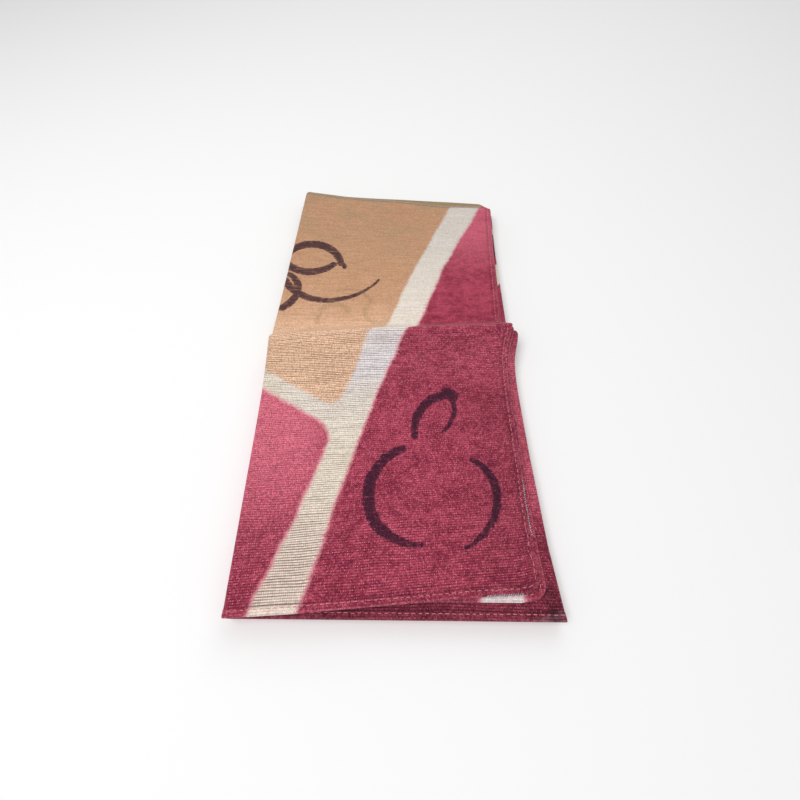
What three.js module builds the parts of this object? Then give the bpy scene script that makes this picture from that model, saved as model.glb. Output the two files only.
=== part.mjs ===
// Folded handkerchief. One square of thin cotton and linen, hemmed all round, is folded twice across its
// width (the left half turned under, then nested) and once along its length, so it lies in eight layers.
// A crease from an earlier, smaller fold still stands as a low ridge across the middle of the packet.
//
// Millimetres, +Z up. +Y runs from the stitched front hems to the back fold, +X to the side where the
// layers show one by one. The origin is on the surface that the packet lies on, below its middle.
import * as THREE from "three";

// The packet
const packetWidth = 126;
const packetLength = 241;
const clothThickness = 1.0;
const layerPitch = 1.32;

// A folded half holds four layers. Heights are counted from the middle of that half in layer pitches. The
// inset is how far the layer ends short of the packet's right side. The set-backs are how far the right end
// of its front hem lies behind the left end, in the upper and in the lower half. frontDraw is how far that
// end is drawn in, bulge how far the layer's right side swells out at the ridge, and spread how far at the
// back fold.
const layerColumns = ["height", "inset", "upperSetBack", "lowerSetBack", "frontDraw", "bulge", "spread"];
const layerRows = {
  first: [1.5, 4.2, 9.4, -1.0, 3.6, 4.8, 3.6],
  second: [0.5, 2.8, 5.6, -1.0, 3.0, 4.2, 2.2],
  third: [-0.5, 0.0, -1.2, -1.0, 0.0, 3.6, 0.0],
  fourth: [-1.5, 0.0, -1.2, -1.0, 0.0, 3.6, 0.0],
};
const layers = {};
for (const [name, row] of Object.entries(layerRows)) {
  layers[name] = Object.fromEntries(layerColumns.map((column, i) => [column, row[i]]));
}
const drawPower = 1.7;

// Lines across the packet: how far back each lies at its middle, how much further back its right end lies
// than its left end, and how far the packet is pushed sideways there. They bend the packet at the ridge.
const crossLines = [
  { name: "front hem", y: 0, tilt: 0, sideways: 0 },
  { name: "ridge", y: 124, tilt: 4.0, sideways: -3.2 },
  { name: "back fold", y: packetLength, tilt: -15, sideways: 0.6 },
];

// How far the packet's right side lies outside its straight line, from the front hems to the back fold
const rightSide = [
  { y: 0, out: 0.2 },
  { y: 25, out: -1.3 },
  { y: 60, out: -1.5 },
  { y: 92, out: -0.7 },
  { y: 112, out: 0.0 },
  { y: 150, out: -0.6 },
  { y: 190, out: -1.2 },
  { y: packetLength, out: -0.9 },
];

// How much of its spread a layer has taken behind the ridge
const spreads = [
  { y: 128, share: 0.0 },
  { y: 165, share: 0.42 },
  { y: 205, share: 0.85 },
  { y: packetLength, share: 1.0 },
];

// The back fold sags: how far behind its straight line it lies, at shares of the packet's width, and how far
// before the fold that fades
const backLine = [
  { share: 0.0, behind: -0.6 },
  { share: 0.06, behind: -1.2 },
  { share: 0.2, behind: -2.4 },
  { share: 0.3, behind: -2.1 },
  { share: 0.5, behind: -0.8 },
  { share: 0.75, behind: -0.3 },
  { share: 1.0, behind: -0.4 },
];
const backLineReach = 26;

// The ridge: its place, how far its crest leans back from the lowest layer to the highest, its reach in
// front and behind with the power that shapes each slope, and the rounding of its crest
const ridge = { y: 124, lean: 5, crestRadius: 0.8 };
const ridgeFront = { reach: 30, power: 1.7, bulgeReach: 9 };
const ridgeBack = { reach: 10, power: 1.4, bulgeReach: 6 };
const ridgeHeights = [
  { share: 0.0, height: 4.0 },
  { share: 0.15, height: 6.0 },
  { share: 0.4, height: 8.0 },
  { share: 1.0, height: 8.6 },
];

// Long, shallow waves in the upper layers: height, length along the packet, length across it, and phase
const waves = [
  { height: 0.32, along: 104, across: 170, phase: 0.6 },
  { height: 0.14, along: 61, across: -125, phase: 2.1 },
];

// How finely the cloth is divided: counts across a panel and round a fold, and spacings along the packet,
// which are wider by lowerHalf where the ridge is low
const steps = {
  acrossPanel: 6,
  sideFold: 4,
  outerSideFold: 6,
  backFold: 7,
  plain: 15.5,
  slope: 5.5,
  crest: 2.1,
  lowerHalf: 1.5,
};
const crestStretch = 9;

const cottonColour = 0xb03a5b;

const outerFoldRadius = 1.5 * layerPitch;
const innerFoldRadius = 0.5 * layerPitch;
const halfCentreGap = 4 * layerPitch;
const backFoldRadius = halfCentreGap / 2;
const leftFoldCentre = outerFoldRadius;
const rightFoldCentre = packetWidth - innerFoldRadius;
const backFoldCentre = packetLength - backFoldRadius - outerFoldRadius;
const topLayerHeight = 7 * layerPitch;

const clamp = THREE.MathUtils.clamp;
const lerp = THREE.MathUtils.lerp;

// A straight stretch of a route, from one point to another
function straight(from, to, tags) {
  const length = Math.hypot(to[0] - from[0], to[1] - from[1]);
  const at = (share) => [lerp(from[0], to[0], share), lerp(from[1], to[1], share)];
  return { length, at, ...tags };
}

// A half circle of a route about a centre, turning from one angle to another
function halfTurn(centre, radius, startAngle, endAngle, tags) {
  const at = (share) => {
    const angle = lerp(startAngle, endAngle, share);
    return [centre[0] + radius * Math.cos(angle), centre[1] + radius * Math.sin(angle)];
  };
  return { length: Math.PI * radius, at, ...tags };
}

// The route across the cloth, hem to hem: first layer, under to the fourth, back along the third and out
// again along the second. A point is (distance from the packet's left side, height within its half).
function routeAcross() {
  const panel = (layer, from, to) => {
    const height = layer.height * layerPitch;
    return straight([from, height], [to, height], { from: layer, to: layer, count: steps.acrossPanel });
  };
  const { first, second, third, fourth } = layers;
  const quarter = Math.PI / 2;
  const foldCount = steps.sideFold;
  return [
    panel(first, packetWidth - first.inset, leftFoldCentre),
    halfTurn([leftFoldCentre, 0], outerFoldRadius, quarter, 3 * quarter, {
      from: first,
      to: fourth,
      count: steps.outerSideFold,
    }),
    panel(fourth, leftFoldCentre, rightFoldCentre),
    halfTurn([rightFoldCentre, -layerPitch], innerFoldRadius, -quarter, quarter, {
      from: fourth,
      to: third,
      count: foldCount,
    }),
    panel(third, rightFoldCentre, leftFoldCentre),
    halfTurn([leftFoldCentre, 0], innerFoldRadius, 3 * quarter, quarter, {
      from: third,
      to: second,
      count: foldCount,
    }),
    panel(second, leftFoldCentre, packetWidth - second.inset),
  ];
}

// The route along the cloth, hem to hem: back over the upper half, round the back fold and forward under
// it. A point is (distance behind the front hems, height above the lower half's middle).
function routeAlong() {
  const quarter = Math.PI / 2;
  const stops = [
    { y: 0, spacing: steps.plain },
    { y: ridge.y - ridgeFront.reach, spacing: steps.slope },
    { y: ridge.y - crestStretch, spacing: steps.crest },
    { y: ridge.y, spacing: steps.crest },
    { y: ridge.y + ridgeBack.reach, spacing: steps.plain },
    { y: backFoldCentre },
  ];
  const pieces = [];
  for (let i = 0; i + 1 < stops.length; i += 1) {
    const count = Math.ceil((stops[i + 1].y - stops[i].y) / stops[i].spacing);
    pieces.push(straight([stops[i].y, halfCentreGap], [stops[i + 1].y, halfCentreGap], { count }));
  }
  const foldCentre = [backFoldCentre, backFoldRadius];
  pieces.push(halfTurn(foldCentre, backFoldRadius, quarter, -quarter, { count: steps.backFold }));
  for (let i = stops.length - 1; i > 0; i -= 1) {
    const spacing = stops[i - 1].spacing * steps.lowerHalf;
    const count = Math.ceil((stops[i].y - stops[i - 1].y) / spacing);
    pieces.push(straight([stops[i].y, 0], [stops[i - 1].y, 0], { count }));
  }
  return pieces;
}

// The point and the direction of a route at a distance along it. Past either end it goes straight on.
function walk(route, distance) {
  let start = 0;
  let index = 0;
  while (index < route.length - 1 && distance > start + route[index].length) {
    start += route[index].length;
    index += 1;
  }
  const piece = route[index];
  const share = (distance - start) / piece.length;
  const nudge = 1e-4;
  const [a, b] = piece.at(share);
  const [c, d] = piece.at(share + nudge);
  const size = Math.hypot(c - a, d - b);
  return { a, b, piece, share, direction: [(c - a) / size, (d - b) / size] };
}

// Distances along a route at which the cloth is divided
function divide(route) {
  const places = [0];
  let start = 0;
  for (const piece of route) {
    for (let i = 1; i <= piece.count; i += 1) places.push(start + (piece.length * i) / piece.count);
    start += piece.length;
  }
  return places;
}

// A value read between the rows of a table whose key column rises from row to row
function readBetween(rows, key, at, column) {
  let i = 0;
  while (i < rows.length - 2 && at > rows[i + 1][key]) i += 1;
  const share = (at - rows[i][key]) / (rows[i + 1][key] - rows[i][key]);
  return lerp(rows[i][column], rows[i + 1][column], share);
}

// Moves a point of the squarely folded packet to where the cloth lies: the layers skewed and drawn in at
// the front, the packet bent at the ridge and swelling there, the ridge raised and leaning back, and the
// upper layers slightly wavy. What raises a layer grows with its height, so the lowest one lies flat.
function settle(x, y, z, tags) {
  const across = (x - leftFoldCentre) / (packetWidth - leftFoldCentre);
  const reach = clamp(across, 0, 1);
  const share = clamp(tags.share, 0, 1);
  const layerValue = (column) => lerp(tags.from[column], tags.to[column], share);
  const setBackColumn = z > topLayerHeight / 2 ? "upperSetBack" : "lowerSetBack";
  const heightShare = z / topLayerHeight;
  const nearFront = clamp(1 - y / ridge.y, 0, 1);

  const behindCrest = y - ridge.y + ridge.lean * (1 - heightShare);
  const slope = behindCrest > 0 ? ridgeBack : ridgeFront;
  const fromCrest = Math.hypot(behindCrest, ridge.crestRadius) - ridge.crestRadius;
  const rise = clamp(1 - fromCrest / slope.reach, 0, 1) ** slope.power;
  const swell = Math.exp(-((behindCrest / slope.bulgeReach) ** 2));

  const setBack = layerValue(setBackColumn) * nearFront;
  const drawnIn = layerValue("frontDraw") * nearFront ** drawPower;
  const bulge = layerValue("bulge") * reach ** 4 * swell;
  const spread = layerValue("spread") * clamp(readBetween(spreads, "y", y, "share"), 0, 1);
  const out = (readBetween(rightSide, "y", y, "out") + spread) * reach;
  const sideways = readBetween(crossLines, "y", y, "sideways");
  const line = readBetween(crossLines, "y", y, "y");
  const tilt = readBetween(crossLines, "y", y, "tilt") * (across - 0.5);
  const nearBack = Math.exp(-(((packetLength - y) / backLineReach) ** 2));
  const sag = readBetween(backLine, "share", reach, "behind") * nearBack;

  let lift = readBetween(ridgeHeights, "share", reach, "height") * rise;
  for (const wave of waves) {
    const turn = 2 * Math.PI * (y / wave.along + x / wave.across) + wave.phase;
    lift += wave.height * (1 + Math.sin(turn));
  }
  return new THREE.Vector3(
    x + sideways + out + bulge - drawnIn * reach,
    line + tilt + setBack * reach + sag,
    z + lift * heightShare,
  );
}

const across = routeAcross();
const along = routeAlong();

// A point of the middle of the cloth, from its distance from two neighbouring hems
function clothPoint(fromSideHem, fromFrontHem) {
  const section = walk(across, fromSideHem);
  const run = walk(along, fromFrontHem);
  const [forward, upward] = run.direction;
  const height = section.b;
  const tags = { from: section.piece.from, to: section.piece.to, share: section.share };
  return settle(section.a, run.a - height * upward, run.b + height * forward + outerFoldRadius, tags);
}

// The direction square to the cloth at a point
function clothNormal(fromSideHem, fromFrontHem) {
  const nudge = 0.02;
  const sideStep = clothPoint(fromSideHem + nudge, fromFrontHem);
  sideStep.sub(clothPoint(fromSideHem - nudge, fromFrontHem));
  const lengthStep = clothPoint(fromSideHem, fromFrontHem + nudge);
  lengthStep.sub(clothPoint(fromSideHem, fromFrontHem - nudge));
  return lengthStep.cross(sideStep).normalize();
}

// The closed body of the cloth: an outer and an inner face joined along the four hems
function clothGeometry() {
  const columns = divide(across);
  const rows = divide(along);
  const positions = [];
  for (const side of [0.5, -0.5]) {
    for (const row of rows) {
      for (const column of columns) {
        const point = clothPoint(column, row);
        point.addScaledVector(clothNormal(column, row), side * clothThickness);
        positions.push(point.x, point.y, point.z);
      }
    }
  }

  const faceSize = rows.length * columns.length;
  const at = (face, i, j) => face * faceSize + i * columns.length + j;
  const indices = [];
  const quad = (a, b, c, d) => indices.push(a, b, c, a, c, d);
  for (let i = 0; i + 1 < rows.length; i += 1) {
    for (let j = 0; j + 1 < columns.length; j += 1) {
      quad(at(0, i, j), at(0, i + 1, j), at(0, i + 1, j + 1), at(0, i, j + 1));
      quad(at(1, i, j), at(1, i, j + 1), at(1, i + 1, j + 1), at(1, i + 1, j));
    }
  }
  const lastRow = rows.length - 1;
  const lastColumn = columns.length - 1;
  for (let j = 0; j < lastColumn; j += 1) {
    quad(at(0, 0, j), at(0, 0, j + 1), at(1, 0, j + 1), at(1, 0, j));
    quad(at(0, lastRow, j + 1), at(0, lastRow, j), at(1, lastRow, j), at(1, lastRow, j + 1));
  }
  for (let i = 0; i < lastRow; i += 1) {
    quad(at(0, i + 1, 0), at(0, i, 0), at(1, i, 0), at(1, i + 1, 0));
    quad(at(0, i, lastColumn), at(0, i + 1, lastColumn), at(1, i + 1, lastColumn), at(1, i, lastColumn));
  }

  const geometry = new THREE.BufferGeometry();
  geometry.setAttribute("position", new THREE.Float32BufferAttribute(positions, 3));
  geometry.setIndex(indices);
  geometry.computeVertexNormals();
  return geometry;
}

// Stands the packet on the surface with its box centred over the origin
function centreOnSurface(geometry) {
  geometry.computeBoundingBox();
  const { min, max } = geometry.boundingBox;
  geometry.translate(-(min.x + max.x) / 2, -(min.y + max.y) / 2, -min.z);
  return geometry;
}

const cotton = new THREE.MeshStandardMaterial({ color: cottonColour, roughness: 0.9, metalness: 0 });
const handkerchief = new THREE.Mesh(centreOnSurface(clothGeometry()), cotton);
handkerchief.name = "handkerchief";

const part = new THREE.Group();
part.name = "folded handkerchief";
part.add(handkerchief);

export default part;
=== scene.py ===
import math
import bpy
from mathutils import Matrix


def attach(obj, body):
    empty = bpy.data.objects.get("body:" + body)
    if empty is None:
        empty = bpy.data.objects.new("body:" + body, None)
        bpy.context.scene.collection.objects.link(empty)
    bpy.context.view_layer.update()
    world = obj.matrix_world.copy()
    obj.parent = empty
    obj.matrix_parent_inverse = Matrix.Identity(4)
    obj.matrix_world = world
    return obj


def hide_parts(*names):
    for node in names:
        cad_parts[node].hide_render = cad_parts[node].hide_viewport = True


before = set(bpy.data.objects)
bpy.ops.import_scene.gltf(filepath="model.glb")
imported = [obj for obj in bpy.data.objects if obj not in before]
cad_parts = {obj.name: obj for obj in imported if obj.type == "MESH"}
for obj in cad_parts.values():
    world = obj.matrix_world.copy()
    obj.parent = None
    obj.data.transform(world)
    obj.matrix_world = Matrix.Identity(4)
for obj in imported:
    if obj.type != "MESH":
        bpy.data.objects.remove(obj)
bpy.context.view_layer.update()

from types import SimpleNamespace

import bpy
import numpy as np
from mathutils import Vector

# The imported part's box. Everything below is in metres in the part's own frame: +Z up, +Y from the front
# hems to the back fold, +X to the side where the layers show one by one.
mm = 0.001


# The view. The packet is seen from above its front hems, close to, so that it narrows towards the back.
# The camera stands before the hems and looks down at them across the cloth.
image_px = 800
view_centre_row = 340
focal_px = 422
view_pitch = math.radians(55.8)
lens_place = Vector((3.35, -125.95, 193.28)) * mm

camera_data = bpy.data.cameras.new("view")
camera_data.sensor_width = 36
camera_data.lens = camera_data.sensor_width * focal_px / image_px
camera_data.shift_y = (view_centre_row - image_px / 2) / image_px
camera_data.clip_start = 0.01
camera = bpy.data.objects.new("view", camera_data)
camera.location = lens_place
camera.rotation_euler = (math.pi / 2 - view_pitch, 0, 0)
bpy.context.scene.collection.objects.link(camera)
bpy.context.scene.camera = camera
bpy.context.scene.view_settings.view_transform = "Standard"


# The table that the packet lies on: a plain pale board, far larger than the packet, so that its edges stay
# out of sight. It only catches the packet's soft shadow.
table_half_width = 1.6
table_colour = (0.97, 0.97, 0.97, 1)

table_mesh = bpy.data.meshes.new("table")
corners = [(-1, -1, 0), (1, -1, 0), (1, 1, 0), (-1, 1, 0)]
table_mesh.from_pydata([Vector(c) * table_half_width for c in corners], [], [(0, 1, 2, 3)])
table = bpy.data.objects.new("table", table_mesh)
bpy.context.scene.collection.objects.link(table)
table_paint = bpy.data.materials.new("pale board")
table_paint.use_nodes = True
table_shader = table_paint.node_tree.nodes["Principled BSDF"]
table_shader.inputs["Base Color"].default_value = table_colour
table_shader.inputs["Roughness"].default_value = 0.9
table_mesh.materials.append(table_paint)


# The light. A wide soft lamp hangs over the near left of the table and a weaker one over its back, and the
# pale room fills in the rest.
room_light = 0.42
lamps = [
    {"name": "over the near left", "place": (-0.28, -0.2, 0.88), "size": 0.6, "watts": 4.9},
    {"name": "over the back", "place": (0.3, 0.7, 0.85), "size": 0.9, "watts": 2.2},
]

room = bpy.data.worlds.new("room")
room.use_nodes = True
room.node_tree.nodes["Background"].inputs["Color"].default_value = (1, 1, 1, 1)
room.node_tree.nodes["Background"].inputs["Strength"].default_value = room_light
bpy.context.scene.world = room
for lamp in lamps:
    lamp_data = bpy.data.lights.new(lamp["name"], "AREA")
    lamp_data.shape = "DISK"
    lamp_data.size = lamp["size"]
    lamp_data.energy = lamp["watts"]
    lamp_object = bpy.data.objects.new(lamp["name"], lamp_data)
    lamp_object.location = lamp["place"]
    lamp_object.rotation_euler = (-Vector(lamp["place"])).to_track_quat("-Z", "Y").to_euler()
    bpy.context.scene.collection.objects.link(lamp_object)


# The cloth. One square of thin cotton and linen plain weave, rolled over twice into a narrow hem on all four
# sides. It is folded in four across its width, so that both side hems lie on top at the right, and then in
# two along its length, with the fold at the back. An older fold still stands across it as a ridge.
cloth_side = 500 * mm
packet_width = 126 * mm
packet_length = 241 * mm
layer_pitch = 1.32 * mm
cloth_thickness = 0.42 * mm

# The hem: its width, how far its rolled edge is rounded, how much it swells on the right and on the wrong
# side of the cloth, and its profile, as shares of that swell from the edge over the seam to the plain cloth
hem_roll = 0.38 * mm
hem_swell_right_side = 0.22 * mm
hem_swell_wrong_side = 0.24 * mm
hem_from_edge = np.array([0, 0.1, 0.3, 0.6, 1.1, 1.7, 2.2, 2.6, 2.85, 3.15]) * mm
hem_profile = np.array([0.2, 0.6, 0.85, 1, 1, 0.95, 0.45, 0.9, 0.3, 0])
seam_from_edge = 2.2 * mm
corner_radius = 5.0 * mm

# The four layers of a folded half, from the top: height in layer pitches from the half's middle, how far the
# layer ends short of the packet's right side, how far the right end of its front hem lies behind the left
# one in the upper and the lower half, how far that end is drawn in, how far its right side swells out at the
# ridge, and how far that side spreads out towards the back. All but the height are in millimetres.
layer_columns = ("height", "right_inset", "set_back_upper", "set_back_lower", "front_draw", "bulge", "spread")
layer_rows = {
    "first": (1.5, 4.2, 9.4, -1.0, 3.6, 4.8, 3.6),
    "second": (0.5, 2.8, 5.6, -1.0, 3.0, 4.2, 2.2),
    "third": (-0.5, 0.0, -1.2, -1.0, 0.0, 3.6, 0.0),
    "fourth": (-1.5, 0.0, -1.2, -1.0, 0.0, 3.6, 0.0),
}
layers = {name: dict(zip(layer_columns, row)) for name, row in layer_rows.items()}

# How closely the drawing in keeps to the front, and the swell and the wandering hem to the right side
draw_power = 1.7
bulge_power = 4
wander_power = 8

# Lines across the packet: how far back each lies, how much further back its right end lies than its left
# end, and how far the packet is pushed sideways there
cross_line_y = np.array([0, 124, 241]) * mm
cross_line_tilt = np.array([0, 4.0, -15]) * mm
cross_line_sideways = np.array([0, -3.2, 0.6]) * mm

# By the distance from the front: how far the right side lies outside a straight line, and how much of its
# spread a layer has reached
right_side_y = np.array([0, 25, 60, 92, 112, 150, 190, 241]) * mm
right_side_out = np.array([0.2, -1.3, -1.5, -0.7, 0, -0.6, -1.2, -0.9]) * mm
spread_y = np.array([128, 165, 205, 241]) * mm
spread_share = np.array([0, 0.42, 0.85, 1])

# The back fold is not straight either: it sags, and its right corner is drawn forward. Its distance behind a
# straight line, at shares of the packet's width, and how far before the fold that fades
back_line_share = np.array([0, 0.06, 0.2, 0.3, 0.5, 0.75, 0.915, 0.955, 1])
back_line = np.array([-0.6, -1.2, -2.4, -2.1, -0.8, -0.3, -0.3, -4.6, -6.6]) * mm
back_line_reach = 26 * mm

# The ridge: its place, how far its crest leans back from the lowest layer to the highest, the rounding of
# the crest, its height from the left side to the right, and its slopes in front and behind
ridge_y = cross_line_y[1]
ridge_lean = 5 * mm
ridge_crest_radius = 0.45 * mm
ridge_share = np.array([0, 0.15, 0.4, 1])
ridge_height = np.array([4.0, 6.0, 8.0, 8.6]) * mm
ridge_front = {"reach": 30 * mm, "power": 1.7, "bulge_reach": 9 * mm}
ridge_back = {"reach": 8.5 * mm, "power": 1.3, "bulge_reach": 6 * mm}
waves = [
    {"height": 0.32 * mm, "along": 104 * mm, "across": 170 * mm, "phase": 0.6},
    {"height": 0.14 * mm, "along": 61 * mm, "across": -125 * mm, "phase": 2.1},
]

# The front hems of the two upper layers are not straight: how far back they lie at shares of their length
# from the left fold, and how soon that fades behind the hem
hem_line_share = np.array([0, 0.2, 0.5, 0.63, 0.76, 0.9, 1])
hem_lines = {
    "first": np.array([0, -0.6, -0.7, -0.7, -0.7, -1.2, 1.0]) * mm,
    "second": np.array([0, 0.8, 1.5, 1.6, 0.7, -0.25, 1.4]) * mm,
}
hem_line_reach = 14 * mm

# The top layer's right hem wanders near its front corner: its distance outside its line, by its place
hem_wander_y = np.array([0, 6, 10, 14, 18, 24, 34, 44]) * mm
hem_wander = np.array([0, 0.25, 0.5, -0.8, 0.15, 0, -0.3, 0]) * mm

# Soft creases of the upper layers, each from one place to another in millimetres from the top layer's right
# hem and from the front hem, with its half width and its height. Those below zero are troughs.
crease_columns = ("from_side", "from_front", "to_side", "to_front", "half_width", "height")
creases = [
    (9, 111, 30, 112.5, 2.2, -0.75),
    (28, 112, 44, 110, 2.0, -0.7),
    (42, 110.5, 60, 112, 2.3, -0.85),
    (16, 117.5, 58, 117, 2.6, 0.45),
    (24, 101, 50, 101.5, 2.4, -0.4),
    (5.2, 117, 4.9, 70, 1.9, -0.8),
    (9, 6.2, 60, 7.2, 2.2, -0.5),
    (62, 7.5, 92, 4.5, 2.2, -0.3),
    (5, 9, 15, 4.2, 1.8, -0.45),
    (14, 15, 40, 11, 4.0, 0.3),
    (72, 36, 118, 27, 9, -0.7),
    (24, 57, 64, 49, 8, -0.5),
    (84, 66, 110, 78, 6, 0.5),
    (66, 100, 116, 92, 5, -0.4),
    (58, 172, 108, 181, 10, -0.6),
    (9, 204, 36, 188, 6, -0.45),
    (40, 226, 96, 221, 7, 0.45),
    (10, 146, 48, 150, 5, 0.35),
    (60, 0.5, 106, 0.5, 4.0, 1.1),
    (0.5, 30, 3.6, 27, 1.6, 0.5),
    (0.6, 20, 5.2, 17.5, 1.5, 0.65),
    (1.0, 15.5, 4.4, 13, 1.0, -0.5),
    (0.8, 9.5, 4.2, 11, 1.2, 0.5),
    (4.5, 22, 8.5, 9, 2.2, -0.45),
    (3.4, 4.6, 6, 1.2, 1.2, 0.45),
    (9, 3.2, 10.4, 0.2, 1.2, -0.4),
]
creases = [dict(zip(crease_columns, row)) for row in creases]

# How much of a crease is left in the layer below it and at its own two ends, and how near the left and the
# back fold creases and puckers begin to fade
crease_share_of_second_layer = 0.6
crease_end_share = 0.45
crease_fade = 8 * mm

# The seam gathers the hem a little: the height, the length along the hem and the phase of its puckers, and
# how far they reach into the cloth
puckers = [(0.11, 7.3, 0.4), (0.08, 11.9, 1.9), (0.06, 4.6, 2.7)]
pucker_reach = 3.2 * mm

# The middle of the packet's box, from its front left corner on the table
packet_middle = np.array([61.55, 123.45, -0.28]) * mm

outer_fold_radius = 1.5 * layer_pitch
inner_fold_radius = 0.5 * layer_pitch
half_gap = 4 * layer_pitch
back_fold_radius = half_gap / 2
left_fold_centre = outer_fold_radius
right_fold_centre = packet_width - inner_fold_radius
back_fold_centre = packet_length - back_fold_radius - outer_fold_radius
top_layer_height = 7 * layer_pitch
rest_height = cloth_thickness / 2


# How finely the mesh divides the cloth: its spacing behind a hem, the steps of the layers below, of the folds
# and of the stretches from the ridge's front foot over its crest to the back fold
spacing_first, spacing_second = 1.5 * mm, 3.2 * mm
spacing_upper, spacing_lower = 1.9 * mm, 4.5 * mm
steps_below = 16
steps_outer_fold, steps_inner_fold, steps_back_fold = 10, 6, 12
crest_reach = 4 * mm
steps_upper = (17, 22, 6, 49)
steps_lower = (8, 5, 23)


def straight(start, end, first, last, places):
    """A straight stretch of a route, with the layers at its ends and the shares where the mesh divides it."""
    start, end = np.array(start), np.array(end)
    length = float(np.hypot(*(end - start)))
    return {
        "length": length,
        "at": lambda share: start[:, None] * (1 - share) + end[:, None] * share,
        "layers": (first, last),
        "places": np.asarray(places) * length,
    }


def half_turn(centre, radius, start_angle, end_angle, first, last, count):
    """Half a circle of a route, turning from one angle to another."""
    centre = np.array(centre)[:, None]

    def at(share):
        angle = start_angle + (end_angle - start_angle) * share
        return centre + radius * np.array([np.cos(angle), np.sin(angle)])

    length = math.pi * radius
    return {
        "length": length,
        "at": at,
        "layers": (first, last),
        "places": np.linspace(0, length, count + 1),
    }


def evenly(count):
    """Shares of a stretch in even steps."""
    return np.linspace(0, 1, count + 1)


# Across a hem the mesh is fine, to turn its rolled edge and its sewn inner edge
hem_places = np.array([0, 0.08, 0.22, 0.45, 0.9, 1.5, 1.9, 2.2, 2.5, 2.75, 3.15, 4.2]) * mm


def from_hem(length, spacing):
    """Shares of a stretch that starts at a hem."""
    rest = length - hem_places[-1]
    count = round(rest / spacing)
    return np.concatenate([hem_places[:-1], hem_places[-1] + rest * evenly(count)]) / length


def between(places, steps):
    """Distances from the first of several places to the last, in even steps from each to the next."""
    return [np.linspace(low, high, count + 1)[1:] for low, high, count in zip(places, places[1:], steps)]


def route_across():
    """Across the cloth from hem to hem: distance from the packet's left side, height in its half."""
    level = [row["height"] * layer_pitch for row in layers.values()]
    quarter = math.pi / 2
    ends = [packet_width - layers[name]["right_inset"] * mm for name in ("first", "second")]
    top_places = from_hem(ends[0] - left_fold_centre, spacing_first)
    second_places = 1 - from_hem(ends[1] - left_fold_centre, spacing_second)[::-1]
    below = evenly(steps_below)
    left, right = left_fold_centre, right_fold_centre
    outer, inner = outer_fold_radius, inner_fold_radius
    return [
        straight((ends[0], level[0]), (left, level[0]), "first", "first", top_places),
        half_turn((left, 0), outer, quarter, 3 * quarter, "first", "fourth", steps_outer_fold),
        straight((left, level[3]), (right, level[3]), "fourth", "fourth", below),
        half_turn((right, -layer_pitch), inner, -quarter, quarter, "fourth", "third", steps_inner_fold),
        straight((right, level[2]), (left, level[2]), "third", "third", below),
        half_turn((left, 0), inner, 3 * quarter, quarter, "third", "second", steps_inner_fold),
        straight((left, level[1]), (ends[1], level[1]), "second", "second", second_places),
    ]


def route_along():
    """Along the cloth from hem to hem: distance behind the front hems, height over the lower half."""
    quarter = math.pi / 2
    foot_front, foot_back = ridge_y - ridge_front["reach"], ridge_y + ridge_back["reach"]
    crest_front, crest_back = ridge_y - crest_reach, ridge_y + crest_reach
    upper = between((foot_front, crest_front, crest_back, foot_back, back_fold_centre), steps_upper)
    upper = np.concatenate([from_hem(foot_front, spacing_upper) * foot_front, *upper])
    lower = between((foot_front, ridge_y, foot_back, back_fold_centre), steps_lower)
    lower = np.concatenate([from_hem(foot_front, spacing_lower) * foot_front, *lower])
    centre = (back_fold_centre, back_fold_radius)
    return [
        straight((0, half_gap), (back_fold_centre, half_gap), None, None, upper / back_fold_centre),
        half_turn(centre, back_fold_radius, quarter, -quarter, None, None, steps_back_fold),
        straight((back_fold_centre, 0), (0, 0), None, None, 1 - lower[::-1] / back_fold_centre),
    ]


def divide(route):
    """Distances along a route at which the mesh divides it."""
    starts = np.cumsum([0] + [stretch["length"] for stretch in route])
    places = [start + stretch["places"] for start, stretch in zip(starts, route)]
    return np.concatenate([places[0]] + [p[1:] for p in places[1:]])


def walk(route, distance):
    """Points, directions, stretches and shares at distances along a route, straight on past its ends."""
    nudge = 1e-4
    ends = np.cumsum([stretch["length"] for stretch in route])
    number = np.minimum(np.searchsorted(ends, distance), len(route) - 1)
    point, ahead = np.empty((2, distance.size)), np.empty((2, distance.size))
    share = np.empty(distance.size)
    for i, stretch in enumerate(route):
        mine = number == i
        share[mine] = (distance[mine] - (ends[i] - stretch["length"])) / stretch["length"]
        point[:, mine] = stretch["at"](share[mine])
        ahead[:, mine] = stretch["at"](share[mine] + nudge)
    direction = ahead - point
    return point, direction / np.hypot(*direction), number, np.clip(share, 0, 1)


across, along = route_across(), route_along()
across_length = sum(stretch["length"] for stretch in across)
along_length = sum(stretch["length"] for stretch in along)


def fading(distance, reach):
    """From 1 down to next to nothing, over about twice this reach."""
    return np.exp(-((distance / reach) ** 2))


def ridge_at(reach, behind):
    """The ridge's height, and how much it swells the right side out, by the distance behind its crest."""

    def slope(column):
        return np.where(behind > 0, ridge_back[column], ridge_front[column])

    height = np.interp(reach, ridge_share, ridge_height)
    off = np.sqrt(behind**2 + ridge_crest_radius**2) - ridge_crest_radius
    off = np.where(behind > 0, off * ridge_height[-1] / height, off)
    rise = np.clip(1 - off / slope("reach"), 0, 1) ** slope("power")
    return height * rise, fading(behind, slope("bulge_reach"))


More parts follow.
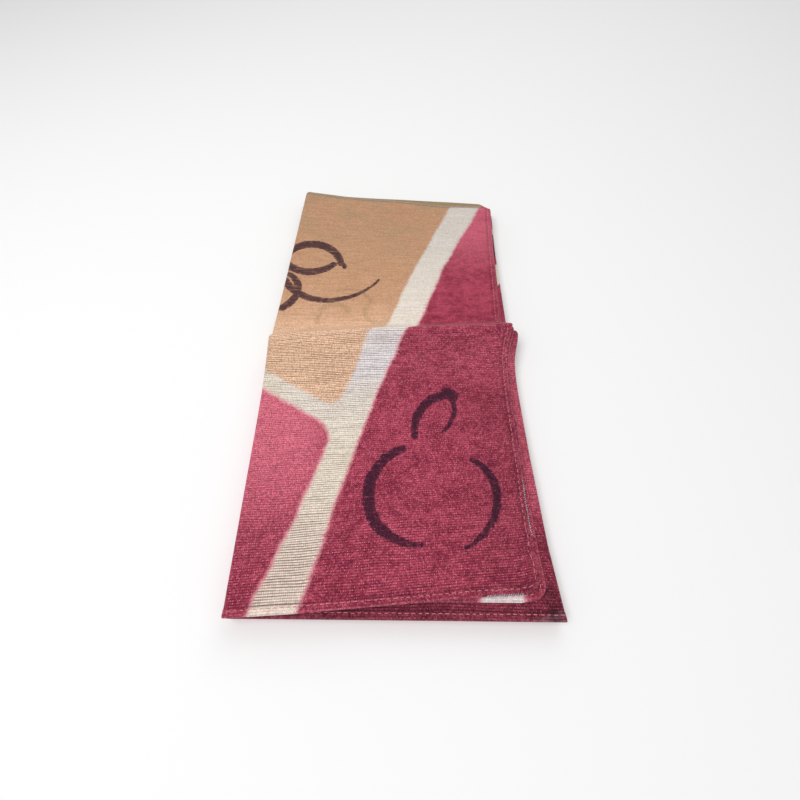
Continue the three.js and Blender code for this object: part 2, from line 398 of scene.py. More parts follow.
def settle(x, y, z, weights):
    """Moves points of the squarely folded packet to where the cloth lies."""
    layer = {}
    for column in layer_columns[2:]:
        layer[column] = sum(weights[name] * layers[name][column] * mm for name in layers)
    share = (x - left_fold_centre) / (packet_width - left_fold_centre)
    reach = np.clip(share, 0, 1)
    upper = z > top_layer_height / 2
    height_share = z / top_layer_height
    near_front = np.clip(1 - y / ridge_y, 0, 1)
    lift, swell = ridge_at(reach, y - ridge_y + ridge_lean * (1 - height_share))
    for wave in waves:
        turn = 2 * math.pi * (y / wave["along"] + x / wave["across"]) + wave["phase"]
        lift = lift + wave["height"] * (1 + np.sin(turn))

    out = layer["bulge"] * reach**bulge_power * swell
    out -= layer["front_draw"] * near_front**draw_power * reach
    out += np.interp(y, right_side_y, right_side_out) * reach
    out += layer["spread"] * np.interp(y, spread_y, spread_share) * reach
    out += weights["first"] * np.interp(y, hem_wander_y, hem_wander) * reach**wander_power * upper
    out += np.interp(y, cross_line_y, cross_line_sideways)

    set_back = np.where(upper, layer["set_back_upper"], layer["set_back_lower"]) * near_front
    back = np.interp(y, cross_line_y, cross_line_tilt) * (share - 0.5) + set_back * reach
    back += np.interp(reach, back_line_share, back_line) * fading(packet_length - y, back_line_reach)
    for name, line in hem_lines.items():
        fade = fading(y, hem_line_reach) * weights[name] * upper
        back += np.interp(reach, hem_line_share, line) * fade
    return np.array([x + out, y + back, z + lift * height_share])


def crease_height(from_side, from_front):
    """The height that the soft creases add to the top layer."""
    height = np.zeros(from_side.size)
    for crease in creases:
        start = np.array([crease["from_side"], crease["from_front"]]) * mm
        run = np.array([crease["to_side"], crease["to_front"]]) * mm - start
        to_place = np.stack([from_side, from_front], axis=-1) - start
        share = np.clip(to_place @ run / (run @ run), 0, 1)
        off = np.linalg.norm(to_place - share[:, None] * run, axis=-1)
        taper = crease_end_share + (1 - crease_end_share) * np.sin(math.pi * share)
        height += crease["height"] * mm * fading(off, crease["half_width"] * mm) * taper
    return height


def pucker_height(from_side, from_front):
    """The height that the seam's puckers add to the top layer."""
    height = np.zeros(from_side.size)
    for size, length, phase in puckers:
        for along_hem, to_hem in ((from_front, from_side), (from_side, from_front)):
            wave = np.sin(2 * math.pi * along_hem / (length * mm) + phase)
            height += size * mm * wave * np.exp(-to_hem / pucker_reach)
    return height


def round_corners(a, b):
    """Draws the cloth's four square corners in to quarter circles."""
    to_a = corner_radius - np.minimum(a, across_length - a)
    to_b = corner_radius - np.minimum(b, along_length - b)
    never_zero = corner_radius * 0.01
    shrink = 1 - np.maximum(to_a, to_b) / np.maximum(np.hypot(to_a, to_b), never_zero)
    shrink = np.where((to_a > 0) & (to_b > 0), shrink, 0)
    toward_middle_a = np.sign(across_length / 2 - a)
    toward_middle_b = np.sign(along_length / 2 - b)
    return a + toward_middle_a * to_a * shrink, b + toward_middle_b * to_b * shrink


def cloth_points(from_side_hem, from_front_hem):
    """Points of the middle of the cloth, from their distances from two neighbouring hems."""
    shape = np.broadcast_shapes(from_side_hem.shape, from_front_hem.shape)
    a = np.broadcast_to(from_side_hem, shape).ravel()
    b = np.broadcast_to(from_front_hem, shape).ravel()
    a, b = round_corners(a, b)
    (x, height), _, number, share = walk(across, a)
    (y, level), (forward, upward), _, _ = walk(along, b)
    weights = {}
    for name in layers:
        starts, ends = (np.array([stretch["layers"][i] == name for stretch in across]) for i in (0, 1))
        weights[name] = starts[number] * (1 - share) + ends[number] * share
    z = level + height * forward + outer_fold_radius
    point = settle(x, y - height * upward, z, weights)
    upper = b < along[0]["length"]
    fold_fade = np.clip((x - left_fold_centre) / crease_fade, 0, 1)
    fold_fade = fold_fade * np.clip((back_fold_centre - y) / crease_fade, 0, 1)
    creased = weights["first"] + weights["second"] * crease_share_of_second_layer
    creased = crease_height(across[0]["length"] + left_fold_centre - x, y) * creased
    puckered = pucker_height(a, b) * weights["first"]
    point[2] += (creased + puckered) * fold_fade * upper
    point = point.T + (0, 0, rest_height) - packet_middle
    return point.reshape(*shape, 3)


def cloth_normals(from_side_hem, from_front_hem):
    """Directions square to the cloth, out of the side that shows on top."""
    nudge = 0.01 * mm
    sideways = cloth_points(from_side_hem + nudge, from_front_hem)
    sideways -= cloth_points(from_side_hem - nudge, from_front_hem)
    lengthways = cloth_points(from_side_hem, from_front_hem + nudge)
    lengthways -= cloth_points(from_side_hem, from_front_hem - nudge)
    normal = np.cross(lengthways, sideways)
    return normal / np.linalg.norm(normal, axis=-1, keepdims=True)


def half_thickness(from_edge, swell):
    """How far a face lies from the cloth's middle, by the distance from the edge and the hem's swell."""
    roll = np.clip(from_edge / hem_roll, 0, 1)
    hem = swell * np.interp(from_edge, hem_from_edge, hem_profile)
    return (cloth_thickness / 2 + hem) * np.sqrt(1 - (1 - roll) ** 2)


def cloth_mesh():
    """The closed thin body of the cloth, with the place on the uncut square kept as a UV map."""
    measured_column = 30
    columns, rows = divide(across), divide(along)
    a, b = np.meshgrid(columns, rows)
    middle, normal = cloth_points(a, b), cloth_normals(a, b)
    edge = np.minimum(np.minimum(a, across_length - a), np.minimum(b, along_length - b))
    right = half_thickness(edge, hem_swell_right_side)
    wrong = half_thickness(edge, hem_swell_wrong_side)
    points = np.concatenate(
        [
            (middle + normal * right[..., None]).reshape(-1, 3),
            (middle - normal * wrong[..., None]).reshape(-1, 3),
        ]
    )
    index = np.arange(a.size).reshape(a.shape)
    quad = np.stack([index[:-1, :-1], index[1:, :-1], index[1:, 1:], index[:-1, 1:]], axis=-1)
    top = quad.reshape(-1, 4)
    under = top[:, ::-1] + a.size
    rim = np.concatenate([index[0, :-1], index[:-1, -1], index[-1, :0:-1], index[:0:-1, 0]])
    ahead = np.roll(rim, -1)
    sides = np.stack([rim, ahead, ahead + a.size, rim + a.size], axis=-1)
    faces = np.concatenate([top, under, sides])
    mesh = bpy.data.meshes.new("handkerchief_cloth")
    mesh.from_pydata(points.tolist(), [], faces.tolist())
    mesh.update()

    # The places along the cloth follow the true lengths of one column of the mesh inside the top layer
    steps = np.linalg.norm(np.diff(middle[:, measured_column], axis=0), axis=1)
    lengthways = np.concatenate([[0], np.cumsum(steps)]) / steps.sum()
    flat = np.stack(np.broadcast_arrays(a / across_length, lengthways[:, None]), axis=-1).reshape(-1, 2)
    flat = np.concatenate([flat, flat])
    corners_of_faces = np.empty(len(mesh.loops), dtype=np.int32)
    mesh.loops.foreach_get("vertex_index", corners_of_faces)
    layer = mesh.uv_layers.new(name="uncut")
    layer.data.foreach_set("uv", flat[corners_of_faces].astype(np.float32).ravel())
    mesh.polygons.foreach_set("use_smooth", np.ones(len(mesh.polygons), dtype=bool))
    return mesh


class Wire:
    """A value inside a material: arithmetic on it adds nodes to the material's tree."""

    def __init__(self, tree, socket):
        self.tree = tree
        self.socket = socket

    def node(self, kind, settings=None, values=None, output=0):
        """Adds a node, with its settings first and then its sockets' values or links."""
        node = self.tree.nodes.new(kind)
        for name, setting in (settings or {}).items():
            setattr(node, name, setting)
        for key, value in (values or {}).items():
            if isinstance(value, Wire):
                self.tree.links.new(value.socket, node.inputs[key])
            else:
                node.inputs[key].default_value = value
        return Wire(self.tree, node.outputs[output])

    def math(self, operation, *others):
        return self.node("ShaderNodeMath", {"operation": operation}, dict(enumerate((self, *others))))

    def __add__(self, other):
        return self.math("ADD", other)

    def __radd__(self, other):
        return self.math("ADD", other)

    def __sub__(self, other):
        return self.math("SUBTRACT", other)

    def __rsub__(self, other):
        return (self * -1).math("ADD", other)

    def __mul__(self, other):
        return self.math("MULTIPLY", other)

    def __rmul__(self, other):
        return self.math("MULTIPLY", other)

    def __truediv__(self, other):
        return self.math("DIVIDE", other)

    def __pow__(self, other):
        return self.math("POWER", other)

    def __neg__(self):
        return self * -1

    def min(self, other):
        return self.math("MINIMUM", other)

    def max(self, other):
        return self.math("MAXIMUM", other)

    def soft_min(self, other, rounding):
        return self.math("SMOOTH_MIN", other, rounding)

    def rise(self, none_at, all_at):
        """From 0 at one value to 1 at another, smoothly. The second value may be the lower one."""
        values = {"Value": self, "From Min": none_at, "From Max": all_at}
        return self.node("ShaderNodeMapRange", {"interpolation_type": "SMOOTHSTEP"}, values)

    def ramp(self, low, high, start, end):
        """Straight from one value to another between two places, and level past them."""
        values = {"Value": self, "From Min": low, "From Max": high, "To Min": start, "To Max": end}
        return self.node("ShaderNodeMapRange", None, values)

    def line(self, knees):
        """A line of straight stretches through (place, value) pairs in rising order."""
        total = None
        for (low, start), (high, end) in zip(knees, knees[1:]):
            stretch = self.ramp(low, high, 0, end - start)
            total = stretch if total is None else total + stretch
        return total + knees[0][1]

    def inside_band(self, middle, half_width):
        """How far the value lies inside a band about a middle value, below 0 outside it."""
        return half_width - (self - middle).math("ABSOLUTE")

    def chance(self, other):
        """A value from 0 to 1 for each pair of whole numbers, as if drawn by chance, and always the same."""
        pair = self.node("ShaderNodeCombineXYZ", None, {0: self, 1: other})
        return self.node("ShaderNodeTexWhiteNoise", {"noise_dimensions": "2D"}, {"Vector": pair})

    def blend(self, first, second):
        """Between two colours, by this value."""
        settings = {"data_type": "RGBA"}
        return self.node("ShaderNodeMix", settings, {0: self, 6: first, 7: second}, output=2)

    def times(self, colour):
        """This value times a colour."""
        settings = {"data_type": "RGBA", "blend_type": "MULTIPLY"}
        grey = self.node("ShaderNodeCombineColor", None, {0: self, 1: self, 2: self})
        return self.node("ShaderNodeMix", settings, {0: 1.0, 6: grey, 7: colour}, output=2)

    def noise(self, other, across, along, detail=2.0, rough=0.5, shift=0.0):
        """Noise over two values, from 0 to 1, with this many swells for each unit of either value."""
        place = self.node("ShaderNodeCombineXYZ", None, {0: self * across, 1: other * along, 2: shift})
        values = {"Vector": place, "Scale": 1.0, "Detail": detail, "Roughness": rough}
        return self.node("ShaderNodeTexNoise", {"noise_dimensions": "3D"}, values)


def seen(red, green, blue):
    """A colour as the eye names it, from 0 to 255, turned into the light that it reflects."""
    shares = (value / 255 for value in (red, green, blue))
    return (*((s / 12.92 if s < 0.04045 else ((s + 0.055) / 1.055) ** 2.4) for s in shares), 1)


# The dyes. The square is resist dyed: fields of tan and crimson keep a band of the undyed cream cloth between
# them. Everything is placed in millimetres on the uncut square: u from the right side hem, v from the front
# hem. The outer fold lies in the middle of u and the back fold in the middle of v.
flat_side = cloth_side / mm
flat_middle = flat_side / 2
undyed_cream = seen(243, 231, 212)
undyed_cool = seen(245, 240, 244)
undyed_gaps = seen(132, 112, 100)
tan_dye = seen(220, 172, 136)
tan_dye_deep = seen(203, 153, 116)
tan_dye_front = seen(251, 209, 176)
tan_dye_back = seen(172, 148, 112)
tan_gaps = seen(140, 104, 84)
crimson_dye = seen(190, 74, 98)
crimson_dye_deep = seen(148, 43, 69)
crimson_gaps = seen(92, 24, 46)
pink_dye = seen(232, 118, 138)
pale_pink = seen(216, 124, 142)
plum_dye = seen(110, 44, 62)
ink_dye = seen(55, 22, 44)
ghost_dye = seen(146, 130, 92)
lilac_wear = seen(206, 172, 190)

# Knees of the fields' edges, as (v, u) pairs for those that run along the cloth and (u, v) pairs for those
# that run across it
tan_side = [(60, 95), (87, 82.6), (123.6, 70.2), (129.5, 63.2), (169, 50.8), (250, 21.5)]
tan_front = [(80, 79.3), (200, 153.5)]
crimson_side = [(0, 93), (42, 80.4), (90, 65), (123.4, 51.6), (129.5, 45.8), (180, 29.6), (250, 2.8)]
pink_side = [(0, 114), (30, 101.2), (66, 87.5)]
pink_back = [(84, 70.5), (200, 143)]
olive_front = [(3.4, 246.0), (6.2, 239.8), (30, 238.2), (64, 241.2), (120, 242.4)]

# How far the gaps between the yarns stand open, widest just before the ridge and near the front hem, and how
# cool the white of the undyed cloth is, as (v, share) pairs
open_weave = [(0, 1.5), (26, 1.25), (50, 0.9), (85, 1), (108, 1.2), (122, 1.2), (127, 0.5), (250, 0.36)]
cool_white = [(0, 0.15), (60, 0), (90, 0.35), (104, 1), (123, 0.8), (130, 0.2), (250, 0.45)]

# The brush strokes: gourds on their stems, each stroke an arc about a place (u, v) with its radius, where it
# starts and ends in degrees as seen from above the cloth, its widths there and how much wider its middle is
stroke_columns = ("u", "v", "radius", "start", "end", "first_width", "last_width", "swell")
strokes = [
    (47.6, 41.0, 20.5, 104, 226, 3.0, 4.4, 1.6),
    (45.2, 43.6, 23.5, 226, 268, 4.2, 1.8, 0.0),
    (31.0, 37.5, 18.6, 60, -34, 2.2, 3.0, 1.2),
    (35.5, 40.5, 24.0, 326, 288, 3.0, 1.4, 0.0),
    (29.6, 69.5, 18.0, 86, 190, 4.6, 2.8, 0.8),
    (41.6, 79.6, 13.6, 40, -58, 3.2, 1.4, 0.0),
    (33.6, 84.5, 5.0, 12, 66, 5.0, 4.6, 0.6),
    (109.8, 177.0, 19.0, 14, 150, 3.6, 4.8, 1.4),
    (109.6, 194.2, 19.6, 316, 214, 4.0, 4.2, 0.8),
    (92.4, 178.4, 3.6, 4, 100, 2.4, 2.0, 0.6),
    (127.0, 160.5, 13.5, 66, -58, 2.6, 4.4, 1.0),
    (95.5, 186.5, 32.5, 214, 328, 4.4, 1.2, 0.6),
]
strokes = [dict(zip(stroke_columns, row)) for row in strokes]

# Strokes of the layer below that show faintly through the tan
strokes_below = [
    (91, 143, 8.5, 20, 210, 2.6, 2.0, 0.4),
    (84, 148, 14, 20, 120, 1.8, 1.2, 0.0),
    (66, 146, 7.5, 150, 330, 2.2, 1.6, 0.2),
]
strokes_below = [dict(zip(stroke_columns, row)) for row in strokes_below]

# The yarns: how far apart they lie, weft first, in millimetres
weft_pitch = 0.95
warp_pitch = 0.84


def inside_stroke(u, v, stroke):
    """How far a place lies inside a brush stroke, in millimetres."""
    middle = math.radians(stroke["start"] + stroke["end"]) / 2
    half = math.radians(stroke["end"] - stroke["start"]) / 2
    right, back = stroke["u"] - u, v - stroke["v"]
    x = right * math.cos(middle) + back * math.sin(middle)
    y = back * math.cos(middle) - right * math.sin(middle)
    angle = y.math("ARCTAN2", x).max(-abs(half)).min(abs(half))
    off_x = x - angle.math("COSINE") * stroke["radius"]
    off_y = y - angle.math("SINE") * stroke["radius"]
    off = (off_x * off_x + off_y * off_y).math("SQRT")
    share = angle * (0.5 / half) + 0.5
    width = share * (stroke["last_width"] - stroke["first_width"]) + stroke["first_width"]
    width = width + share * (1 - share) * (4 * stroke["swell"])
    return width * 0.5 - off


def inside_strokes(u, v, rows):
    """How far a place lies inside the nearest of several brush strokes, in millimetres."""
    inside = inside_stroke(u, v, rows[0])
    for stroke in rows[1:]:
        inside = inside.max(inside_stroke(u, v, stroke))
    return inside


def place_on_cloth(tree):
    """Where each point lies on the uncut square, and the clouds in which the dyes took there."""
    uncut = Wire(tree, None).node("ShaderNodeUVMap", {"uv_map": "uncut"})
    u, v = (uncut.node("ShaderNodeSeparateXYZ", None, {0: uncut}, output=i) * flat_side for i in (0, 1))
    to_edge = u.min(flat_side - u).min(v.min(flat_side - v))
    return SimpleNamespace(
        u=u,
        v=v,
        to_edge=to_edge,
        hem=to_edge.rise(2.95, 2.7),
        outer_fold=u.inside_band(flat_middle, 8).rise(-1.5, 1.5),
        cloud=u.noise(v, 0.045, 0.06, 4, 0.6, 8.0),
        blotch=u.noise(v, 0.2, 0.3, 3, 0.6, 9.0),
    )


def woven_yarns(place):
    """The yarns: they wander a little, and each differs from the next and along its own length."""
    u, v = place.u, place.v
    yarn_v = v + u.noise(v, 0.022, 0.05, 2) * 2.6 + u.noise(v, 0.12, 0.2, 2, 0.5, 13.0) * 0.35
    yarn_u = u + u.noise(v, 0.05, 0.03, 2, 0.5, 4.0) * 1.6
    weft_turn, warp_turn = yarn_v / weft_pitch, yarn_u / warp_pitch
    weft_wave = (weft_turn * (2 * math.pi)).math("SINE")
    warp_wave = (warp_turn * (2 * math.pi)).math("SINE")
    weft, warp = weft_wave * 0.5 + 0.5, warp_wave * 0.5 + 0.5
    weft_row, gap_row = (weft_turn + 0.25).math("FLOOR"), (weft_turn - 0.25).math("FLOOR")
    crossing = weft_row.chance((warp_turn + 0.25).math("FLOOR"))
    half_yarn = (weft_turn * 2).math("FLOOR").chance((warp_turn * 2).math("FLOOR"))
    check = weft_wave * warp_wave * (0.4 + crossing * 0.9)
    return SimpleNamespace(
        weft_wave=weft_wave,
        weft=weft,
        warp=warp,
        crossing=crossing,
        stand=(weft * 0.55 + warp * 0.45) * (0.35 + crossing * 0.65),
        openness=v.line(open_weave),
        weft_each=u.noise(weft_row, 0.1, 3.71, 2, 0.6, 1.0),
        gap_each=u.noise(gap_row, 0.04, 4.37, 2, 0.6, 2.0),
        speck=u.noise(v, 1.6, 1.6, 1, 0.5, 5.0),
        slub=u.noise(v, 0.1, 0.9, 3, 0.6, 3.0),
        fleck=(half_yarn - 0.5 + check * 0.25) * v.ramp(125, 140, 1, 0.5),
    )


def dyed_fields(place, yarns):
    """How much of the tan and of the red dyes each place took. The depths are distances inside a field."""
    u, v, across = place.u, place.v, place.u - flat_middle
    ragged = yarns.weft_each * 1.4 + yarns.speck * 1.4 + u.noise(v, 0.07, 0.07, 2, 0.5, 6.0) * 3.0 - 2.8
    edge_u = u + ragged
    edge_v = v + u.noise(v, 0.3, 0.3, 3, 0.6, 7.0) * 2.4 - 1.2
    olive_depth = v - u.line(olive_front)
    far_depth = edge_u - edge_v.ramp(0, flat_middle, 176, 196)
    tan_depth = (edge_u - edge_v.line(tan_side)).soft_min((edge_v - edge_u.line(tan_front)) * 0.87, 15)
    tan_depth = tan_depth.min(-far_depth - 7).min(-olive_depth)
    tan_depth = tan_depth.max(olive_depth.min(384 - edge_v + across * 0.12))
    pink_depth = (edge_u - edge_v.line(pink_side)).soft_min((edge_u.line(pink_back) - edge_v) * 0.84, 13)
    pink_depth = pink_depth.min(-far_depth - 7)

    # Bare patches are left on the outer fold and on the hem of the layer below the top one
    fold_gap = (edge_v + across * 1.2).inside_band(181, 9).max(edge_v.inside_band(222, 4))
    fold_gap = fold_gap.min(edge_u.inside_band(249, 16))
    hem_patch = edge_u.inside_band(482.4, 9.4).min(6.5 - v)
    red_depth = (edge_v.line(crimson_side) - edge_u).max(pink_depth)
    red_depth = red_depth.max(far_depth.min(-fold_gap).min(-hem_patch))
    red_depth = red_depth.min(-olive_depth).max(edge_v - 396 - across * 0.12)

    # Towards the front the dyes' borders are softer, and red has crept out of its fields
    soft = v.ramp(0, 110, 1.15, 0.8)
    return SimpleNamespace(
        olive_depth=olive_depth,
        tan=tan_depth.rise(soft * -1.5, soft * 1.5),
        red=red_depth.rise(soft * -1.6, soft),
        creeping=red_depth.rise(-2.6, 0.2) * (0.35 + v.rise(240, 60) * 0.35),
    )


def crimson_cloth(place, yarns):
    """The crimson: it lies in clouds, pink or plum in places, and is paler on some yarns, with a painted
    highlight along its rolled edges.
    """
    u, v, cloud = place.u, place.v, place.cloud
    pinkness = u.rise(78, 100) * u.rise(160, 150) * v.rise(5, 80)
    pinkness = pinkness.max(v.rise(165, 210) * u.rise(60, 40) * (0.3 + cloud * 0.4))
    pinkness = pinkness.max(place.outer_fold * v.rise(26, 48) * v.rise(124, 112) * 0.3)
    plum = v.inside_band(206, 12).min(u.inside_band(flat_middle, 9)).rise(-2, 2)
    faded = (4.2 - v - (u - 253) * 0.3).min(u - 251.8).rise(-0.5, 1.6)
    pale = yarns.fleck.rise(0.1, 0.6) * 0.42 + yarns.weft * yarns.weft_each.rise(0.48, 0.78) * 0.16
    pale = pale + v.rise(88, 104) * v.rise(125, 121) * yarns.slub.rise(0.4, 0.7) * 0.22
    # A painted highlight in pale pink along the rolled edges of the hems.
    painted_edge_highlight = place.to_edge.rise(0.9, 0.1) * 0.4
    colour = ((cloud + place.blotch) * 0.5).rise(0.38, 0.62).blend(crimson_dye_deep, crimson_dye)
    colour = pinkness.blend(colour, pink_dye)
    colour = plum.blend(colour, plum_dye)
    colour = (faded * (0.15 + yarns.stand * 0.5)).blend(colour, lilac_wear)
    return (pale + painted_edge_highlight).min(0.8).blend(colour, pale_pink)


def tan_cloth(place, yarns, fields):
    """The tan: it lies in clouds and streaks, lighter before the ridge, and turns olive towards the back."""
    v, cloud = place.v, place.cloud
    olive = v.rise(140, 235) * cloud.rise(0.42, 0.66) * 0.45
    colour = (cloud * 0.4 + yarns.slub * 0.6).rise(0.3, 0.68).blend(tan_dye_deep, tan_dye)
    colour = (v.rise(160, 118) * 0.95).blend(colour, tan_dye_front)
    return olive.max(fields.olive_depth.rise(-1.5, 1.0)).blend(colour, tan_dye_back)


def undyed_cloth(place, fields):
    """The undyed cloth: cream, cool white in places, and tinged with pink beside the red and at the front."""
    u, v = place.u, place.v
    cool = (v.line(cool_white) * u.rise(122, 96)).max(u.rise(440, 470) * 0.8)
    tinged = fields.creeping + v.rise(60, 5) * (0.08 + place.cloud * 0.16)
    return tinged.blend(cool.blend(undyed_cream, undyed_cool), pale_pink)


def brushed(colour, place, yarns, fields):
    """The cloth's colour with the brush strokes on it, worn thin where the yarns stand up."""
    u, v = place.u, place.v
    wander = u.noise(v, 0.12, 0.12, 2, 0.5, 11.0) * 1.6 - 0.8
    inside = inside_strokes(u + wander, v + wander, strokes)
    dry = u.noise(v, 0.45, 0.8, 3, 0.7, 12.0) * 0.7 + 0.2 + yarns.fleck * 0.1
    ink = (inside + (0.66 - dry) * 1.3).rise(-0.3, 0.5)
    kept = 1 - (dry.rise(0.5, 0.8) * inside.rise(1.9, 0.2) * 0.6 + dry.rise(0.6, 0.9) * 0.5)
    kept = kept * (1 - yarns.weft * yarns.weft_each.rise(0.5, 0.75) * 0.4)
    worn = dry.rise(0.66, 0.84) * inside.rise(2.2, 0.4) * fields.red * 0.6
    below = inside_strokes(u + wander, v + wander, strokes_below)
    below = below.rise(-1.2, 0.8) * fields.tan * (0.14 + place.blotch * 0.3)
    colour = (ink * worn).blend(colour, lilac_wear)
    colour = (ink * kept * 0.97).blend(colour, ink_dye)
    return below.blend(colour, ghost_dye)


def gapped(colour, place, yarns, fields):
    """The cloth's colour with the darker gaps between its yarns, narrower where there is more dye."""
    weft_gap = (1 - yarns.weft) ** 1.5 * (0.34 + yarns.gap_each.rise(0.28, 0.72) * 0.6)
    weft_gap = weft_gap * (1 - (fields.red * 0.45).max(fields.creeping * 0.7) + fields.tan * 0.15)
    warp_gap = (1 - yarns.warp) ** 2.0 * (1 - yarns.crossing * 0.7)
    gap = (weft_gap + warp_gap * 0.22) * yarns.openness * (1 - place.hem * 0.7)
    gap_colour = fields.tan.blend(undyed_gaps, tan_gaps)
    gap_colour = fields.creeping.blend(gap_colour, pale_pink)
    gap_colour = fields.red.rise(0.5, 1).blend(gap_colour, crimson_gaps)
    return gap.min(0.95).blend(colour, gap_colour)


def threadbare(colour, place):
    """The cloth's colour with the bare edge of the top layer's hem near its front corner."""
    u, v = place.u, place.v
    bead_pitch = 0.9
    bare = (0.55 - u).min(v.inside_band(32, 12)).max((0.5 - v).min(u.inside_band(15, 7)))
    bead = ((u + v) * (2 * math.pi / bead_pitch)).math("SINE").rise(-0.3, 0.3)
    return (bare.rise(-0.2, 0.1) * 0.85).blend(colour, bead.blend(crimson_gaps, undyed_cool))


def tone_and_painted_shade(place, yarns, fields):
    """How light the cloth is: darker on its hems, with painted shade in the groove beside their seams and
    inside the folds, a painted shadow line at the back fold's olive strip, darker towards the back except on
    the red, and yarn by yarn.
    """
    u, v, to_edge, red = place.u, place.v, place.to_edge, fields.red
    # Painted shade in the groove along the inner edge of each hem, beside the seam.
    painted_groove_shade = to_edge.rise(4.4, 3.2) * to_edge.rise(2.4, 2.9)
    # Painted shade where the lower layers lie sheltered: the third layer's front strip and the outer fold's
    # strip near the front.
    painted_fold_shade = u.rise(251, 255) * u.rise(382, 376) * v.rise(16, 9) + place.outer_fold * v.rise(42, 28) * 0.7
    near_side = u.rise(34, 8) * v.rise(104, 84)
    tone = 1 - place.hem * red * 0.14 - painted_groove_shade * 0.18 - painted_fold_shade * 0.3 - red * (0.09 + near_side * 0.14)
    tone = tone - v.rise(128, 225) * (1 - red) * (0.2 - fields.tan * 0.06)
    # A painted shadow line along the olive strip's front edge at the back fold.
    tone = tone - (fields.olive_depth + 0.4).math("ABSOLUTE").rise(1.3, 0.2) * 0.3
    contrast = 0.34 + fields.tan * 0.24 + red * 0.44
    lit = 1 + yarns.fleck * contrast + yarns.weft_wave * red * yarns.openness * 0.09
    lit = lit + (yarns.crossing - 0.5) * 0.1 + (yarns.weft_each - 0.5) * 0.16
    return lit * tone


def relief(place, yarns):
    """The relief of the yarns, of the seam's own pull and of lint."""
    seam = (place.to_edge - seam_from_edge / mm).math("ABSOLUTE").rise(0.5, 0.0)
    lumps = place.hem * place.u.noise(place.v, 0.45, 0.45, 3, 0.6, 14.0)
    height = yarns.stand * 0.8 + yarns.slub * 0.6 + yarns.weft_each * 0.3 - seam * 0.5
    height = height + yarns.speck * 0.25 + lumps * 2.0
    return height.node("ShaderNodeBump", None, {"Height": height, "Strength": 0.5, "Distance": 0.16 * mm})


def cotton():
    """The dyed cloth."""
    paint = bpy.data.materials.new("dyed cotton and linen")
    paint.use_nodes = True
    tree = paint.node_tree
    shader = tree.nodes["Principled BSDF"]
    place = place_on_cloth(tree)
    yarns = woven_yarns(place)
    fields = dyed_fields(place, yarns)
    colour = fields.tan.blend(undyed_cloth(place, fields), tan_cloth(place, yarns, fields))
    colour = fields.red.blend(colour, crimson_cloth(place, yarns))
    colour = brushed(colour, place, yarns, fields)
    colour = gapped(colour, place, yarns, fields)
    colour = threadbare(colour, place)
    colour = tone_and_painted_shade(place, yarns, fields).times(colour)
    rough = 0.82 + yarns.speck * 0.12
    tree.links.new(colour.socket, shader.inputs["Base Color"])
    tree.links.new(relief(place, yarns).socket, shader.inputs["Normal"])
    tree.links.new(rough.socket, shader.inputs["Roughness"])
    shader.inputs["Specular IOR Level"].default_value = 0.22
    shader.inputs["Sheen Weight"].default_value = 0.12
    shader.inputs["Sheen Roughness"].default_value = 0.45
    return paint


cloth = bpy.data.objects.new("handkerchief_cloth", cloth_mesh())
cloth.data.materials.append(cotton())
bpy.context.scene.collection.objects.link(cloth)
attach(cloth, "root")
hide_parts("handkerchief")


# The hem's stitches: one row of machine stitches all round, near the inner edge of the hem, seen from both
# sides of the cloth. Each stitch is a short length of pale thread that dives into the cloth at its ends.
stitch_pitch = 2.5 * mm
stitch_length = 1.7 * mm
thread_radius = 0.13 * mm
thread_sides = 6
stitch_bends = np.array([-0.5, -0.36, 0, 0.36, 0.5])
stitch_arch = np.array([-0.16, 0.0, 0.06, 0.0, -0.16]) * mm
stitch_girth = np.array([0.6, 1.0, 1.05, 1.0, 0.6])
stitch_shift = 0.05 * mm
stitch_shortest, stitch_longest = 0.85, 1.08
thread_pale = seen(226, 150, 160)
thread_deep = seen(204, 112, 130)


def stitch_lines():
    """The middles of all stitches and the direction of their seam, on the flat cloth, hem by hem."""
    side_run = np.arange(2 * seam_from_edge, along_length - 2 * seam_from_edge, stitch_pitch)
    front_run = np.arange(2 * seam_from_edge, across_length - 2 * seam_from_edge, stitch_pitch)
    for from_side in (seam_from_edge, across_length - seam_from_edge):
        yield np.full(side_run.size, from_side), side_run, (0, 1)
    for from_front in (seam_from_edge, along_length - seam_from_edge):
        yield front_run, np.full(front_run.size, from_front), (1, 0)


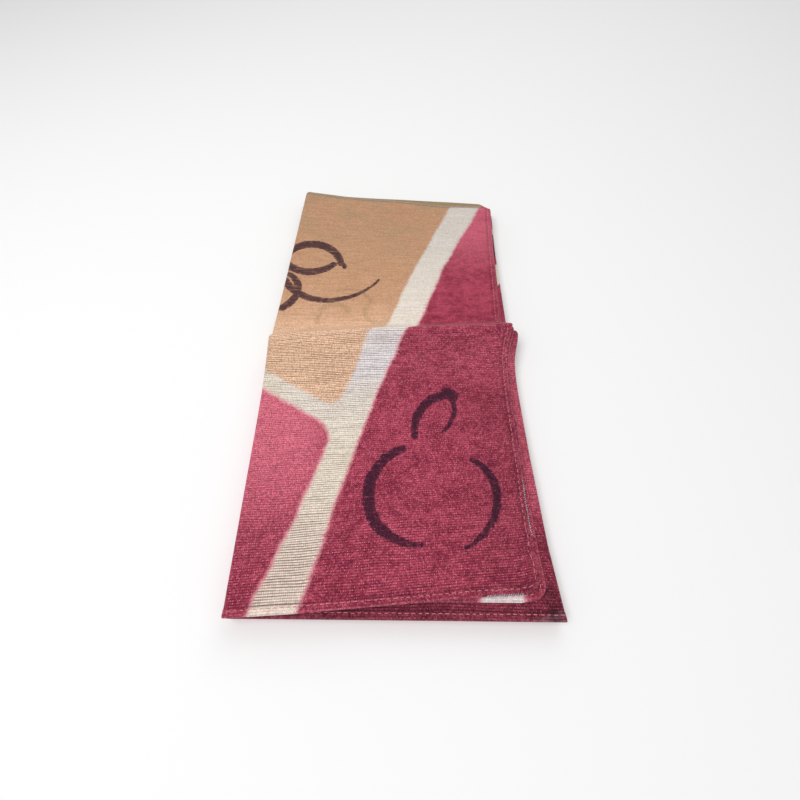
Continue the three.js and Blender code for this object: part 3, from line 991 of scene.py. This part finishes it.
def stitches_mesh():
    """All stitches in one mesh of small bent threads."""
    generator = np.random.default_rng(7)
    points = []
    for a, b, (step_a, step_b) in stitch_lines():
        for face, swell in ((1, hem_swell_right_side), (-1, hem_swell_wrong_side)):
            shifted = generator.normal(0, stitch_shift, (2, a.size))
            length = stitch_length * generator.uniform(stitch_shortest, stitch_longest, a.size)
            offset = (stitch_bends * length[:, None]) + shifted[0][:, None]
            aside = shifted[1][:, None]
            stitch_a = a[:, None] + offset * step_a + aside * step_b
            stitch_b = b[:, None] + offset * step_b + aside * step_a
            normal = cloth_normals(stitch_a, stitch_b)
            surface = half_thickness(seam_from_edge, swell)
            lift = (surface + stitch_arch)[None, :, None]
            middle = cloth_points(stitch_a, stitch_b) + normal * lift * face
            ahead = np.gradient(middle, axis=1)
            ahead /= np.linalg.norm(ahead, axis=-1, keepdims=True)
            side = np.cross(ahead, normal * face)
            side /= np.linalg.norm(side, axis=-1, keepdims=True)
            up = np.cross(side, ahead)
            turn = 2 * math.pi * np.arange(thread_sides) / thread_sides
            girth = (stitch_girth * thread_radius)[None, :, None, None]
            ring = side[:, :, None, :] * np.cos(turn)[:, None] + up[:, :, None, :] * np.sin(turn)[:, None]
            points.append((middle[:, :, None, :] + ring * girth).reshape(-1, 3))
    points = np.concatenate(points)
    per_stitch = len(stitch_bends) * thread_sides
    index = np.arange(per_stitch).reshape(len(stitch_bends), thread_sides)
    around = np.roll(index, -1, axis=1)
    quads = np.stack([index[:-1], around[:-1], around[1:], index[1:]], axis=-1).reshape(-1, 4)
    starts = np.arange(len(points) // per_stitch)[:, None] * per_stitch
    faces = (starts[:, None] + quads).reshape(-1, 4).tolist()
    faces += (starts + index[0][::-1]).tolist() + (starts + index[-1]).tolist()
    mesh = bpy.data.meshes.new("hem_stitches")
    mesh.from_pydata(points.tolist(), [], faces)
    mesh.update()
    mesh.polygons.foreach_set("use_smooth", np.ones(len(mesh.polygons), dtype=bool))
    return mesh


def thread():
    """Cotton thread that took a little of the crimson dye, twisted."""
    paint = bpy.data.materials.new("sewing thread")
    paint.use_nodes = True
    tree = paint.node_tree
    shader = tree.nodes["Principled BSDF"]
    place = Wire(tree, None).node("ShaderNodeTexCoord", output=3)
    x, y = (place.node("ShaderNodeSeparateXYZ", None, {0: place}, output=i) / mm for i in (0, 1))
    tone = x.noise(y, 0.5, 0.5, 3, 0.6)
    colour = tone.rise(0.3, 0.7).blend(thread_deep, thread_pale)
    tree.links.new(colour.socket, shader.inputs["Base Color"])
    twist = ((x + y) * 9).math("SINE") * 0.5 + tone
    bump = twist.node("ShaderNodeBump", None, {"Height": twist, "Strength": 0.4, "Distance": 0.05 * mm})
    tree.links.new(bump.socket, shader.inputs["Normal"])
    rough = 0.7 + tone * 0.15
    tree.links.new(rough.socket, shader.inputs["Roughness"])
    shader.inputs["Sheen Weight"].default_value = 0.1
    return paint


stitches = bpy.data.objects.new("hem_stitches", stitches_mesh())
stitches.data.materials.append(thread())
bpy.context.scene.collection.objects.link(stitches)
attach(stitches, "root")
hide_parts("handkerchief")
